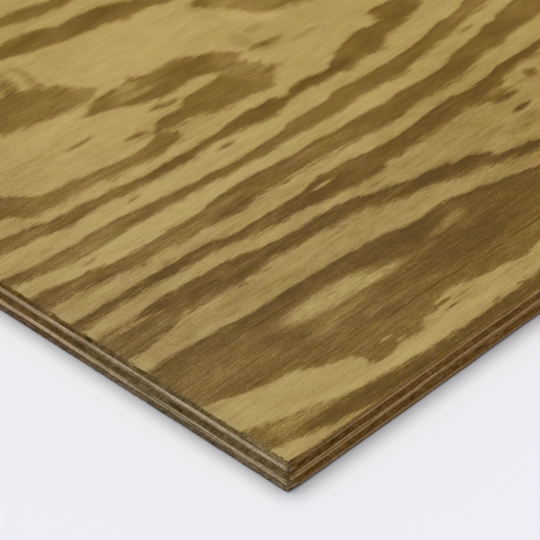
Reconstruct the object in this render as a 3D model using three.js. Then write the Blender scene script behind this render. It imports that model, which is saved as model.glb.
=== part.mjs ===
// Softwood plywood sheet, five plies, 4 ft x 8 ft and nominally 5/8 in thick.
//
// Five rotary-peeled pine veneers are glued face to face, each with its grain at right angles
// to the last, hot-pressed flat and trimmed on a panel saw. Millimetres, +Z up. X runs along
// the face grain, which is the sheet's length, and Y across it. The origin is the middle of the
// back face, on the surface that the sheet lies on.

import * as THREE from "three";

// The sheet as trimmed.
const SHEET_LENGTH = 2438.4; // along the face grain, 8 ft
const SHEET_WIDTH = 1219.2; // across the face grain, 4 ft

// The plies as pressed. Their sum with the glue lines is the 19/32 in performance category.
const FACE_THICKNESS = 2.5;
const CROSSBAND_THICKNESS = 3.0;
const CORE_THICKNESS = 3.3;
const BACK_THICKNESS = 2.9;
const GLUE_LINE = 0.1; // cured resin between two plies, left open

// The sawn edge. Fibres cut across break out and dry back; fibres cut along stay flush.
const END_GRAIN_SETBACK = 0.3; // of a ply's end-grain sides from the sheet's trimmed size
const OUTER_ARRIS = 0.35; // rounding where the face and back meet the saw cut
const INNER_ARRIS = 0.5; // rounding of a ply's own edges at the glue lines
const CORNER_RADIUS = 0.8; // wear on the sheet's four upright corners

// Facets.
const ARRIS_SEGMENTS = 3; // steps in each rounded arris
const CORNER_SEGMENTS = 3; // curve divisions in each upright corner

// Grain directions.
const ALONG = "along"; // parallel to X
const ACROSS = "across"; // parallel to Y

// Upwards from the back. Each ply has the finish that its veneer was peeled and laid with.
const LAYUP = [
  { name: "back_veneer", thickness: BACK_THICKNESS, grain: ALONG, arris: OUTER_ARRIS, color: 0x93784a },
  { name: "crossband_lower", thickness: CROSSBAND_THICKNESS, grain: ACROSS, arris: INNER_ARRIS, color: 0x8a6f45 },
  { name: "core_veneer", thickness: CORE_THICKNESS, grain: ALONG, arris: INNER_ARRIS, color: 0x87693f },
  { name: "crossband_upper", thickness: CROSSBAND_THICKNESS, grain: ACROSS, arris: INNER_ARRIS, color: 0x8a6f45 },
  { name: "face_veneer", thickness: FACE_THICKNESS, grain: ALONG, arris: OUTER_ARRIS, color: 0xa78d55 },
];
const ROUGHNESS = 0.72;

// A rectangle with rounded corners, centred on the origin.
function roundedRectangle(length, width, radius) {
  const x = length / 2 - radius;
  const y = width / 2 - radius;
  const outline = new THREE.Shape();
  outline.absarc(x, y, radius, 0, Math.PI / 2);
  outline.absarc(-x, y, radius, Math.PI / 2, Math.PI);
  outline.absarc(-x, -y, radius, Math.PI, 1.5 * Math.PI);
  outline.absarc(x, -y, radius, 1.5 * Math.PI, 2 * Math.PI);
  outline.closePath();
  return outline;
}

// One ply lying on z = 0: its outline set back at the end-grain sides, its arrises rounded.
function plyGeometry({ thickness, grain, arris }) {
  const lengthSetback = grain === ALONG ? END_GRAIN_SETBACK : 0;
  const widthSetback = grain === ACROSS ? END_GRAIN_SETBACK : 0;
  const outline = roundedRectangle(
    SHEET_LENGTH - 2 * lengthSetback,
    SHEET_WIDTH - 2 * widthSetback,
    CORNER_RADIUS,
  );
  const round = Math.min(arris, CORNER_RADIUS, thickness / 2);
  const geometry = new THREE.ExtrudeGeometry(outline, {
    depth: thickness - 2 * round,
    curveSegments: CORNER_SEGMENTS,
    bevelThickness: round,
    bevelSize: round,
    bevelOffset: -round,
    bevelSegments: ARRIS_SEGMENTS,
  });
  return geometry.translate(0, 0, round);
}

function plyMesh(ply, height) {
  const material = new THREE.MeshStandardMaterial({ color: ply.color, roughness: ROUGHNESS, metalness: 0 });
  const mesh = new THREE.Mesh(plyGeometry(ply), material);
  mesh.name = ply.name;
  mesh.position.z = height;
  return mesh;
}

// Lays the plies one on another, a glue line apart.
function plywoodSheet() {
  const sheet = new THREE.Group();
  sheet.name = "plywood_sheet";
  let height = 0;
  for (const ply of LAYUP) {
    sheet.add(plyMesh(ply, height));
    height += ply.thickness + GLUE_LINE;
  }
  return sheet;
}

export default plywoodSheet();
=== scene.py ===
"""Dresses a softwood plywood sheet: five peeled veneers, their figure and their sawn edges."""

import math

import bmesh
import bpy
from mathutils import Matrix, Vector, noise


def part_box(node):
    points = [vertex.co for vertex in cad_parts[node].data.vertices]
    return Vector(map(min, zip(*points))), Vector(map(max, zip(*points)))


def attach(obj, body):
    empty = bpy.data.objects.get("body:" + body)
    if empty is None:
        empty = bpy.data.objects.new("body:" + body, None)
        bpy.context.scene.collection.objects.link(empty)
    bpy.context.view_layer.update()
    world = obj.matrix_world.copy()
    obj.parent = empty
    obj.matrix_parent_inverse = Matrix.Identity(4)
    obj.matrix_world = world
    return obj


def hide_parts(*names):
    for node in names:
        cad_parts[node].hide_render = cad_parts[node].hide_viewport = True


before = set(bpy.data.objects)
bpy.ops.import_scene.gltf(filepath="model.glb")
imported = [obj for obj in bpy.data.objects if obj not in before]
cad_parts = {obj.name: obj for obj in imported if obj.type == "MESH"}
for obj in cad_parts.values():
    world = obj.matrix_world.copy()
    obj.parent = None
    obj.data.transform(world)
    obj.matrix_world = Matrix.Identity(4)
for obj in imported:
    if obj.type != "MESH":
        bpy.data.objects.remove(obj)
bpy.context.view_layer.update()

bl_info = {
    "name": "Plywood Sheet",
    "version": (1, 0, 0),
    "blender": (4, 5, 0),
    "location": "View3D > Sidebar > Plywood",
    "description": "Models the veneers of a softwood plywood sheet and the stage that it lies on",
    "category": "Object",
}

MM = 0.001

# The veneers, upwards from the back.
BACK = "back_veneer"
LOWER_CROSSBAND = "crossband_lower"
CORE = "core_veneer"
UPPER_CROSSBAND = "crossband_upper"
FACE = "face_veneer"
BODY = "root"

# The sheet's box, and the worked corner: the one nearest the camera, round which the face and the
# edges have marks of their own.
CORNER = Vector((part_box(UPPER_CROSSBAND)[0].x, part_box(FACE)[0].y, 0.0))
SHEET_LENGTH_MM = -2 * CORNER.x / MM
SHEET_WIDTH_MM = -2 * CORNER.y / MM

# Latewood bands of the face round that corner. Each has the softness of its near and far edges,
# then its stations: the distance along the grain, and the distances across it of the near and
# far edges. All are millimetres from the corner.
LATEWOOD_BANDS = (
    (1.4, 2.2, (
        (-12, 12, 26), (0, 10.4, 25.4), (10, 8, 22.8), (14, 7.6, 20.8), (20, 6.4, 18.6),
        (28, 4.3, 17.8), (33, 3.6, 16.6), (36, 3, 14.2), (42, 1, 12.8), (50, -1, 11.2),
        (60, -2, 9.8), (70, -2, 9), (80, -3, 7.6), (100, -3, 6.3), (120, -3, 6), (135, -3, 7),
        (150, -3, 7.5), (200, -3, 9), (340, -3, 12),
    )),
    (0.9, 0.9, (
        (-12, 49.5, 76.5), (0, 47.5, 76.5), (10, 43, 76.5), (20, 40, 76), (30, 37.4, 75.4),
        (38, 36.6, 75.5), (43, 34.8, 74.7), (47, 31.4, 73.6), (50, 29.3, 73.5), (56, 28, 73),
        (61, 26.2, 72.8), (64, 23, 72.6), (64.5, 17, 72.5), (70, 15.5, 72.4), (76, 16, 72.3),
        (84, 17.5, 72.2), (88, 16.8, 72.1), (96, 17, 72), (99, 20.5, 72), (108, 21, 71.5),
        (111, 24.6, 71), (118, 25.8, 70.4), (127, 25.4, 69.4), (132, 23.4, 68.8), (136, 21.8, 68.4),
        (143, 21.2, 65.9), (150, 20.6, 65.1), (153.5, 18.6, 65.8), (160, 17.8, 66.4),
        (166, 18.8, 66.4), (170, 20, 65), (178, 20, 62.8), (190, 20, 59.9), (197, 21, 58.2),
        (203, 22, 56), (210, 23, 54.6), (225, 26, 50), (250, 30, 42), (270, 36, 36),
    )),
    (2.4, 0.9, (
        (-12, 86, 104.6), (0, 86.5, 104.6), (20, 88.5, 104.2), (30, 90, 105.3), (37, 91, 106.1),
        (45, 90.6, 105.3), (52, 90, 104.5), (61, 89.1, 104.1), (69, 88, 104.4), (77, 88.8, 102.3),
        (90, 91, 99.2), (100, 90, 98), (110, 89.5, 97.3), (120, 88, 97.4), (130, 88, 97),
        (140, 86, 95.3), (150, 82, 90.6), (160, 79, 88.5), (170, 77.6, 85.5), (177, 75, 84.6),
        (185, 72, 83.4), (188, 71, 80.5), (197, 69, 80), (200, 68, 77.5), (205, 66, 74),
        (208, 65, 71), (215, 62.5, 69.5), (222, 61, 68), (228, 59, 66), (250, 52, 58),
        (270, 48, 48),
    )),
    (1.8, 1.0, (
        (-12, 113.5, 119.5), (0, 113.5, 119.5), (20, 114, 118.6), (36, 114.4, 118.8),
        (42, 113.4, 119), (47, 112.4, 119), (60, 112, 118), (75, 111, 117.3), (84, 109.2, 114.9),
        (91, 107.2, 113.6), (100, 106, 114), (110, 105, 114.2), (122, 103.8, 113.4),
        (130, 102.5, 113.5), (135, 102, 115), (142, 101, 116), (148, 100, 115.6),
        (155, 99.8, 115.4), (165, 99.3, 114.1), (171, 102, 113.1), (180, 101.5, 112),
        (190, 101.8, 111.5), (200, 102.5, 112.5), (215, 102.5, 114), (225, 103, 114.5),
        (232, 101, 112.8), (238, 98, 112.5), (244, 97.5, 113), (249, 102, 113.3), (254, 107, 113.7),
        (258, 108.5, 115.5), (268, 109, 115.5), (290, 109.5, 115.3), (330, 112, 118),
        (440, 116, 124),
    )),
    (1.8, 1.1, (
        (-12, 132.5, 143), (0, 132.5, 143), (8, 132.5, 142.4), (14, 132, 141.4), (16, 131.5, 140.2),
        (25, 130.6, 139.6), (34, 128.8, 138), (40, 127, 135.7), (50, 126, 135.2),
        (62, 125.8, 135.2), (80, 125, 134.8), (90, 124.5, 134.8), (96, 123.5, 136),
        (105, 123.2, 137), (112, 124.4, 137), (124, 123.8, 137), (135, 123.4, 135.3),
        (150, 122.8, 134.6), (160, 122.6, 135.4), (170, 122, 133.4), (180, 121, 134),
        (192, 119.6, 133.2), (205, 121.3, 132.5), (213, 122.8, 133.5), (230, 120.8, 132.5),
        (240, 121.8, 132.8), (246, 121.8, 133.4), (251.5, 122.8, 136), (262, 125.8, 137.3),
        (273, 125.2, 138.8), (282, 127, 141.4), (288, 127.8, 140.6), (292, 128, 143.2),
        (304, 127.8, 144.8), (330, 132, 150), (440, 140, 162),
    )),
    (1.8, 1.1, (
        (-12, 153, 161), (0, 152.6, 160), (12, 151.2, 158.2), (24, 148.4, 157.3), (31, 146.6, 157),
        (40, 145.8, 156.4), (52, 146.9, 156.8), (61, 147.6, 156.5), (75, 146.4, 154.8),
        (90, 145.8, 152.4), (108, 145.2, 150.7), (120, 144.3, 149.9), (128, 143, 149.6),
        (138, 142.5, 149.5), (150, 143, 150), (157, 143, 150.6), (161, 142.8, 152.4),
        (170, 142.8, 152.4), (186, 141.6, 152.4), (193, 142.8, 154.1), (202, 143, 154.1),
        (212, 142.4, 153.2), (227, 141.5, 152.6), (239, 143.6, 152.9), (249, 145.8, 153.9),
        (260, 147.2, 156.2), (270, 148.4, 158), (276, 149.6, 158.3), (284, 151.2, 159.2),
        (290, 151.6, 161), (330, 158, 166), (440, 170, 180),
    )),
    (1.3, 1.2, (
        (-12, 172, 186), (0, 171, 184), (15, 171, 181), (28, 170.4, 178.6), (36, 168.2, 177.4),
        (40, 167, 175.4), (50, 166.4, 174.8), (60, 167.6, 174.4), (68, 166.8, 172.8),
        (74, 165.6, 173.4), (82, 164.8, 170.8), (95, 163.7, 169.5), (109, 163.3, 169.9),
        (115, 161.8, 169.4), (119, 164, 168.8), (127, 164.7, 169.9), (137, 163.1, 169.6),
        (144, 163.3, 171.1), (149, 163.4, 171.8), (155, 160.4, 172), (162, 159.7, 170.4),
        (165.5, 160.2, 170.2), (168.5, 161.4, 171.6), (171, 163, 170.8), (175, 164, 167.6),
        (179, 164, 167.2), (182, 164.4, 170.4), (189, 164.4, 170.9), (192, 162.4, 170.4),
        (200, 162, 168.9), (206, 163, 168.3), (209.5, 161, 171), (212, 160.8, 173),
        (219, 162.2, 175.8), (225, 163, 177.4), (230, 161.8, 178.8), (236, 161.4, 180),
        (240, 165, 179.4), (245, 167.4, 178.2), (250, 168, 178.4), (252.5, 168.7, 187),
        (258, 169.6, 187.5), (268, 171, 186.2), (280, 176, 187), (300, 182, 196), (340, 190, 208),
        (440, 205, 225),
    )),
    (2.2, 1.6, (
        (8, 198, 198), (20, 193, 201), (30, 188.5, 203), (37, 183, 203), (41.5, 181.4, 199.6),
        (45, 181, 196), (48, 180.6, 192.6), (52, 180.2, 190.6), (60, 180, 189.5),
        (75, 179.4, 187.8), (80, 177.8, 187), (95, 177, 184.6), (108, 175.8, 184.6),
        (114, 176, 186.5), (118, 176.5, 190.5), (121, 177.5, 187), (124, 180, 182), (126, 181, 181),
    )),
    (2.4, 2.0, (
        (116, 190, 190), (119, 188, 191), (122, 186, 193.6), (126, 184.6, 194.5),
        (135, 185.5, 194.5), (141, 184, 195.5), (144, 182.5, 198.5), (150, 179.4, 198.6),
        (165, 178.6, 199.2), (172, 177, 203), (178, 176.4, 203), (183.5, 179, 199.5),
        (187, 183.4, 196), (191, 187.5, 188.6),
    )),
    (1.6, 2.4, (
        (102, 220, 220), (105, 218.5, 221), (112, 216, 224), (118, 214, 226), (124, 211, 225.6),
        (130, 208, 225), (138, 205.6, 227), (146, 205, 224), (160, 206.5, 223), (166, 203, 222),
        (172, 199, 218), (178, 198.5, 215), (182, 200, 212), (185, 203, 209), (189, 206, 206),
    )),
    (2.2, 3.2, (
        (40, 244, 244), (58, 238, 247), (66, 236, 250), (75, 233, 253), (85, 230.5, 257),
        (95, 228.5, 257), (100, 227.5, 253), (106, 227, 250), (112, 226, 246), (116, 226.2, 241),
        (120, 228, 236), (123, 231, 231),
    )),
    (1.2, 1.8, (
        (88, 278, 278), (105, 279.5, 284), (115, 276.5, 287), (121, 274.2, 288.5),
        (129, 272.6, 288), (135, 270.8, 286.2), (141, 269.3, 284), (146, 268.5, 281),
        (150, 268, 280.6), (156, 267.2, 281.1), (161, 266.6, 281), (168, 264.6, 280),
        (176, 263.5, 277), (184, 262.6, 272), (200, 258, 262), (240, 250, 250),
    )),
    (1.2, 1.8, (
        (120, 301, 303), (130, 298, 305), (140, 294, 304.5), (150, 292.8, 301.5), (158, 292.1, 300),
        (166, 291.8, 297), (190, 282, 289), (240, 270, 280), (340, 252, 266), (440, 240, 256),
    )),
    (2.6, 3.0, (
        (199, 250, 250), (204, 241, 252), (209, 235.5, 252), (213, 230, 251), (216, 223.2, 249),
        (222, 219.3, 246), (235, 216, 240), (260, 205, 225), (300, 200, 212), (340, 210, 222),
        (440, 230, 245),
    )),
)
# Streaks of earlywood inside them, written the same way.
EARLYWOOD_STREAKS = (
    (0.9, 1.2, (
        (-2, 102.8, 102.8), (5, 101.2, 103.8), (12, 100.4, 103.4), (21, 100.2, 102.2),
        (31, 101, 101),
    )),
    (1.2, 1.8, ((141, 204, 204), (150, 199.8, 205.6), (160, 199.4, 205), (167, 201.6, 201.6))),
)

# Soft patches of the face round the corner. Each has its middle and its reach, along and across
# the grain, in millimetres from the corner, and then how much darker it is.
TONE_PATCHES = (
    # by the corner
    (4, 18, 20, 8, -0.12), (1, 32, 5, 12, 0.06), (25, 16, 16, 3, -0.11), (38, 14, 12, 2.4, -0.08),
    (26, 9, 10, 2.6, 0.09), (55, 5, 30, 3, 0.08), (110, 2, 50, 2.5, 0.08), (18, 34, 28, 5, -0.03),
    (95, 12, 45, 3.2, -0.1), (118, 14, 18, 2.6, -0.07), (28, 28, 26, 6, -0.04),
    (44, 18.5, 12, 3, -0.06), (136, 141, 24, 3, -0.05), (5, 4, 10, 2.5, -0.02),
    (40, 0, 60, 1.2, 0.1),
    # the broad band
    (60, 71.5, 75, 3.4, 0.06), (20, 57, 42, 7, -0.05), (126, 62, 20, 6, 0.13), (52, 54, 9, 5, 0.06),
    (140, 45, 34, 8, 0.06), (85, 46, 16, 2.6, -0.1), (92, 25, 28, 7, -0.06),
    (180, 45, 40, 14, 0.05), (158, 49.5, 14, 1.8, -0.08), (200, 33, 30, 10, -0.03),
    (66, 44, 8, 2.4, -0.08), (83, 57.4, 22, 4.6, -0.36), (72, 58.6, 12, 3.2, -0.12),
    (112, 52.2, 12, 2.2, -0.35), (98, 57, 10, 4, -0.1), (80, 49.5, 15, 3, -0.12),
    (149, 54.6, 5, 2.2, -0.16), (132, 50.4, 8, 1.6, -0.14), (159, 55.8, 6, 3, -0.2),
    (70, 47, 16, 5, 0.03), (34, 44, 20, 3, 0.03), (2, 82, 5, 5, -0.03), (145, 62, 12, 5, 0.05),
    (110, 30, 12, 5, 0.05),
    # the band above it
    (52, 97, 9, 2.2, 0.12), (153, 84.6, 4, 0.9, -0.1), (68, 92.6, 12, 2.6, 0.12),
    (80, 100, 7, 1.6, 0.12), (115, 92, 22, 2.8, 0.1), (149, 90.6, 12, 1.6, 0.12),
    (150, 84, 9, 2, 0.08), (176, 82, 10, 3, 0.16), (195, 77.5, 8, 2.6, 0.14),
    (160, 85.6, 7, 1.6, -0.06), (216, 66, 14, 4, 0.08), (15, 95, 22, 5, -0.04),
    (10, 88, 14, 2.4, 0.05), (2, 82.5, 6, 5, -0.05), (34, 102.5, 8, 2, 0.06),
    (15, 80.5, 22, 3.6, -0.05), (80, 81, 80, 4.4, 0.05), (160, 96, 14, 2.2, 0.07),
    (229, 77.4, 11, 2, 0.1), (237, 81, 7, 2, 0.12),
    # the next, and the pale wood above it
    (52, 115, 9, 2.4, 0.15), (16, 115, 22, 2, 0.07), (88, 112.4, 9, 1.8, 0.1),
    (126, 107, 22, 4, 0.12), (192, 106.4, 32, 4, 0.06), (244, 103, 6, 2.4, -0.14),
    (219, 105, 9, 2.4, -0.06), (266, 112, 22, 2.6, 0.05), (150, 102, 8, 2, 0.05),
    (140, 112.6, 12, 1.4, 0.06), (95, 120, 60, 3, 0.03), (56, 120.2, 3.5, 1.2, 0.16),
    (160, 100.6, 9, 1, 0.1), (28, 133, 10, 2.4, 0.08), (20, 129.4, 20, 2, 0.08),
    (41, 126, 8, 1.5, 0.1), (6, 137, 10, 4, 0.06), (100, 132.6, 9, 2.2, -0.07),
    (101, 126, 13, 3, 0.14), (156, 130, 16, 4, -0.06), (196, 127, 24, 5, 0.02),
    (190, 122, 40, 14, -0.04), (194, 120.4, 9, 1, 0.12), (245, 127.5, 9, 4, 0.06),
    (291, 133, 13, 4, 0.06), (71, 136.4, 3, 1, 0.12), (122, 134, 16, 2, 0.04),
    (303, 138, 9, 8, -0.06), (137, 122.6, 18, 1.2, -0.06),
    # broad changes
    (110, 85, 120, 44, 0.04), (128, 86, 18, 9, 0.06), (85, 200, 110, 75, -0.035),
    (12, 68, 24, 8, 0.03), (235, 82, 60, 42, 0.07), (10, 106, 30, 26, 0.04), (90, 0, 80, 26, 0.03),
    (232, 130, 26, 12, 0.03), (50, 205, 20, 10, 0.04), (90, 228, 50, 18, -0.03),
    (84, 150, 50, 20, -0.02),
    # farther up
    (6, 156, 8, 3, 0.05), (46, 152, 26, 4, -0.04), (76, 150, 16, 2, 0.06),
    (140, 146.6, 30, 2.4, 0.03), (220, 147, 30, 3, 0.05), (287, 156, 13, 3.6, -0.1),
    (25, 175, 12, 4, -0.03), (50, 170, 15, 3, 0.06), (106, 166.8, 24, 2.8, 0.08),
    (158, 166, 15, 5, 0.07), (70, 141, 45, 5, -0.06), (196, 166.6, 17, 2.6, 0.12),
    (222, 167, 8, 5, -0.02), (234, 170, 7, 8, 0.05), (212, 167, 7, 4, 0.05), (262, 178, 9, 7, 0.06),
    (40, 192, 9, 7, -0.02), (80, 183, 32, 4, -0.06), (117, 183, 7, 5, 0.02),
    (135, 190, 11, 3, 0.06), (160, 190, 18, 6, 0.01), (180, 196, 8, 16, -0.1),
    (150, 213, 22, 5, 0.08), (131, 202.3, 4.5, 1.2, 0.34), (137, 200.3, 5, 1.4, 0.36),
    (138, 181, 12, 3, 0.08), (135, 217, 14, 3, -0.08), (131, 222.4, 7, 1.5, -0.2),
    (136, 215.6, 6, 1.6, -0.14), (128, 217, 5, 2, -0.07), (85, 245, 12, 7, 0.04),
    (118, 235, 5, 6, -0.07), (93, 243, 9, 5, -0.06), (98, 266, 4, 4, 0.12),
    (108, 263, 2.4, 6, 0.15), (103, 270, 5, 2, 0.12), (106, 254, 3, 4, 0.16), (95, 261, 5, 5, 0.26),
    (125, 281, 13, 4, 0.08), (212, 142, 22, 10, -0.05), (20, 186, 14, 12, 0.05),
    (0, 137, 4, 5, 0.1), (1, 15, 6, 4, 0.09), (166, 275, 18, 4, 0.1), (222, 232, 14, 14, -0.14),
    (202, 246, 5, 3, 0.08), (212, 244, 8, 6, -0.08), (230, 217, 9, 4, 0.05),
    (207, 215.4, 6, 2.2, 0.13), (194.5, 212.4, 4, 5, 0.12), (197, 204.2, 5, 1.5, 0.24),
    (204, 202.4, 6, 1.7, 0.28), (202, 199, 5, 1.6, 0.08), (221, 195.2, 9, 1.6, 0.1),
    (192, 186.5, 6, 1.3, 0.1), (157, 244, 34, 16, -0.05),
    # short dark flecks of resin
    (88, 206, 7, 1.1, 0.3), (107.5, 193.5, 4, 1, 0.28), (111.5, 192.4, 3.6, 1, 0.3),
    (114, 189.6, 7, 1.0, 0.16), (76.5, 161, 3.5, 1, 0.28), (131, 160, 4.5, 1.3, 0.34),
    (33.5, 143, 4, 0.8, 0.34), (242, 87, 5, 1.2, 0.5), (244, 96.6, 6, 1.2, 0.34),
    (266, 101.5, 2.8, 3, 0.3), (260, 101.5, 5, 3, 0.1), (220, 84, 6, 1, 0.12),
    (273.5, 144.9, 4.5, 1, 0.2), (267, 146, 5, 1.2, 0.07), (172, 262.6, 3, 1.4, 0.2),
    (25, 161, 4, 1, 0.06), (15, 157, 6, 1.4, -0.14), (56, 216, 14, 12, 0.05),
    (152, 95, 5, 0.9, 0.1),
)

# Features finer than the face's grid, written the same way.
FINE_MARKS = (
    (80, 23.6, 4.2, 0.8, -0.34), (84, 19.3, 3.6, 1.2, -0.26), (114, 18, 4.5, 0.7, 0.3),
    (113, 22.2, 5, 1.1, 0.34), (124, 20.4, 9, 0.5, 0.2), (97, 31.9, 7, 0.42, 0.32),
    (116, 32.1, 13, 0.42, 0.46), (134, 31.3, 8, 0.42, 0.38), (155, 30, 5, 0.5, 0.22),
    (178, 30, 16, 0.5, 0.16), (62, 33, 6, 0.5, 0.08), (139, 110.8, 7.5, 0.8, -0.4),
    (140, 124.7, 14, 0.6, -0.25), (162, 123.4, 9, 0.5, -0.18), (24, 103.5, 7, 0.35, -0.3),
    (30, 99.4, 4, 0.4, -0.3), (13, 102.2, 10, 0.25, 0.22), (9, 100.6, 12, 0.35, -0.2),
    (152, 16.8, 8, 0.5, 0.12), (60, 66, 26, 0.6, 0.1), (100, 35.5, 30, 0.5, 0.08),
    (20, 51, 20, 0.5, 0.1), (14, 76.9, 14, 0.5, 0.14),
)


def graded(length, steps):
    """Places from 0 to length: each (reach, spacing) of steps holds as far as its reach."""
    places = [0.0]
    start = 0.0
    for reach, spacing in steps:
        end = min(reach, length)
        count = max(1, round((end - start) / spacing))
        places += [start + (end - start) * (i + 1) / count for i in range(count)]
        start = end
    return places


def smooth_ramp(low, high, value):
    """0 below low and 1 above high, with an eased rise between."""
    share = min(max((value - low) / (high - low), 0.0), 1.0)
    return share * share * (3 - 2 * share)


def edges_at(stations, x):
    """The near and far edges at x, on an eased line through a band's stations, or None beside it."""
    for before, after in zip(stations, stations[1:]):
        if before[0] <= x <= after[0]:
            even = (x - before[0]) / (after[0] - before[0])
            share = (even + smooth_ramp(0.0, 1.0, even)) / 2
            return tuple(a + (b - a) * share for a, b in zip(before[1:], after[1:]))
    return None


# The depth inside a band past which the figure no longer changes, how much depth a millimetre
# along the grain gives, and the steps in which that is looked up.
FIGURE_REACH = 3.5
ALONG_SHARE = 0.25
ALONG_STEP = 2.3

# How much darker latewood is by its far edge, how much of that it is paler by its near one, and
# how far in both reach.
RIM_TONE = 0.09
NEAR_RIM_SHARE = 0.6
RIM_REACH = 3.2

# Where the corner's own figure holds. Each of its sides, beyond the sheet's two, is (a, b, c), and
# a * x + b * y - c is the distance outside it. There the figure starts to give way to the general
# one at START, and has given way by END. In the mesh it reaches a little farther, as far as STORED.
CORNER_FIGURE_SIDES = ((0.627, -0.779, 92.0), (0.723, 0.691, 321.0), (-0.738, 0.675, 107.0))
CORNER_FIGURE_START = 8.0
CORNER_FIGURE_END = 70.0
CORNER_FIGURE_STORED = 75.0

# How far along and across the grain the figure lies from where its tables put it.
FIGURE_SHIFT = (1.0, 0.15)

# The squared distance, counted in a patch's reach, at which the patch has faded out.
PATCH_FADED = 2.56


def bands_across(bands, x):
    """The bands met at x, each as (near softness, far softness, near edge, far edge)."""
    met = []
    for near_fade, far_fade, stations in bands:
        edges = edges_at(stations, x)
        if edges is not None:
            met.append((near_fade, far_fade, *edges))
    return met


def deepest(bands, y):
    """The depth that y lies inside a band, negative outside, counted in the softness of its edges."""
    depth = -FIGURE_REACH
    for near_fade, far_fade, near, far in bands:
        depth = max(depth, min((y - near) / near_fade, (far - y) / far_fade))
    return min(depth, FIGURE_REACH)


def rim_tone(bands, y):
    """How much darker latewood is at y: dark by a band's far edge, paler by its near one."""
    tone = 0.0
    for near_fade, far_fade, near, far in bands:
        if near < y < far:
            tone += RIM_TONE * (1.0 - smooth_ramp(0.0, RIM_REACH, far - y))
            tone -= NEAR_RIM_SHARE * RIM_TONE * (1.0 - smooth_ramp(0.0, RIM_REACH, y - near))
    return tone


def tone_at(x, y):
    """How much darker the wood is at a place than its kind."""
    tone = 0.0
    for middle_x, middle_y, reach_x, reach_y, amount in TONE_PATCHES:
        across = (y - middle_y) / reach_y
        if across * across < PATCH_FADED:
            along = (x - middle_x) / reach_x
            away = along * along + across * across
            tone += amount * (1.0 - smooth_ramp(0.0, PATCH_FADED, away))
    return tone


# ---------------------------------------------------------------- veneer meshes

ARRIS_STEPS = 3
STRAIGHT_STEPS = 5

# The drop stored on a point of a ply's upper face that is not on its outline.
NO_DROP = -1.0

# How far along its two sides from the worked corner a ply's outline is divided finely, and the
# share of a step that an edge may be too long by and not be cut once more.
FINE_REACH = 190 * MM
CUT_ALLOWANCE = 0.01


def rounding(arris):
    """Levels down a rounded arris, as (drop, inset)."""
    angles = [math.pi / 2 * i / ARRIS_STEPS for i in range(ARRIS_STEPS + 1)]
    return [(arris * (1 - math.cos(angle)), arris * (1 - math.sin(angle))) for angle in angles]


def ply_levels(thickness, upper_arris, lower_arris):
    """Levels down a ply's edge from its upper face, as (drop, inset), with rounded arrises."""
    straight = thickness - upper_arris - lower_arris
    middle = [(upper_arris + straight * i / STRAIGHT_STEPS, 0.0) for i in range(1, STRAIGHT_STEPS)]
    lower = [(thickness - drop, inset) for drop, inset in reversed(rounding(lower_arris))]
    return rounding(upper_arris) + middle + lower


def divide_outline(bm, low, near_spacing, far_spacing):
    """Divides a face's outline, finely along the two sides of the worked corner."""
    groups = {}
    for edge in bm.edges:
        if not edge.is_boundary:
            continue
        middle = (edge.verts[0].co + edge.verts[1].co) / 2
        near_side = min(middle.x - low.x, middle.y - low.y) < MM
        distance = max(middle.x - low.x, middle.y - low.y)
        spacing = near_spacing if near_side and distance < FINE_REACH else far_spacing
        cuts = math.ceil(edge.calc_length() / spacing - CUT_ALLOWANCE) - 1
        if cuts > 0:
            groups.setdefault(cuts, []).append(edge)
    for cuts, edges in groups.items():
        bmesh.ops.bisect_edges(bm, edges=edges, cuts=cuts)


def settle_face_order(bm):
    """Puts the faces in the order of their points, so that it is the same on every run."""
    bm.verts.index_update()
    ordered = sorted(bm.faces, key=lambda face: sorted(vert.index for vert in face.verts))
    for number, face in enumerate(ordered):
        face.index = number
    bm.faces.sort()


def ply_block(low, high, columns, rows, levels, near_spacing, far_spacing):
    """A veneer as a closed block: a graded grid for its upper face, extruded down level by level."""
    bm = bmesh.new()
    drop_layer = bm.verts.layers.float.new("drop")
    bmesh.ops.create_grid(bm, x_segments=len(columns) - 1, y_segments=len(rows) - 1, size=1.0)
    for vert in bm.verts:
        column = round((vert.co.x + 1) / 2 * (len(columns) - 1))
        row = round((vert.co.y + 1) / 2 * (len(rows) - 1))
        vert.co = Vector((low.x + columns[column], low.y + rows[row], high.z))
    divide_outline(bm, low, near_spacing, far_spacing)
    for vert in bm.verts:
        vert[drop_layer] = 0.0 if vert.is_boundary else NO_DROP
    ring = [edge for edge in bm.edges if edge.is_boundary]
    for drop, _ in levels[1:]:
        made = bmesh.ops.extrude_edge_only(bm, edges=ring)["geom"]
        for vert in (item for item in made if isinstance(item, bmesh.types.BMVert)):
            vert.co.z = high.z - drop
            vert[drop_layer] = drop
        ring = [item for item in made if isinstance(item, bmesh.types.BMEdge) and item.is_boundary]
    bmesh.ops.contextual_create(bm, geom=ring)
    settle_face_order(bm)
    bmesh.ops.recalc_face_normals(bm, faces=bm.faces)
    return bm


# ---------------------------------------------------------------- sawn edges


# How far apart in the noise two seeds lie.
SEED_SPACING = 7.31


def ripple(along, across, length, width, seed):
    """Smooth noise from about -1 to 1 whose grains measure length by width."""
    return noise.noise(Vector((along / length, across / width, seed * SEED_SPACING)))


# Relief of a sawn edge in millimetres: how far below flush it lies, and the unevenness on that.
# Each kind has its depth, the length and height of its grains, and the number of its noise. Fibres
# cut across show bundles, pits and waves, and fibres cut along show long low ridges and waves.
END_GRAIN_DEPTH = 0.2
END_GRAIN_KINDS = ((0.16, 1.7, 1.0, 0), (0.12, 0.6, 0.5, 1), (0.12, 9.0, 3.0, 2))
SIDE_GRAIN_DEPTH = 0.16
SIDE_GRAIN_KINDS = ((0.09, 26.0, 0.6, 3), (0.06, 90.0, 4.0, 4))

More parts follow.
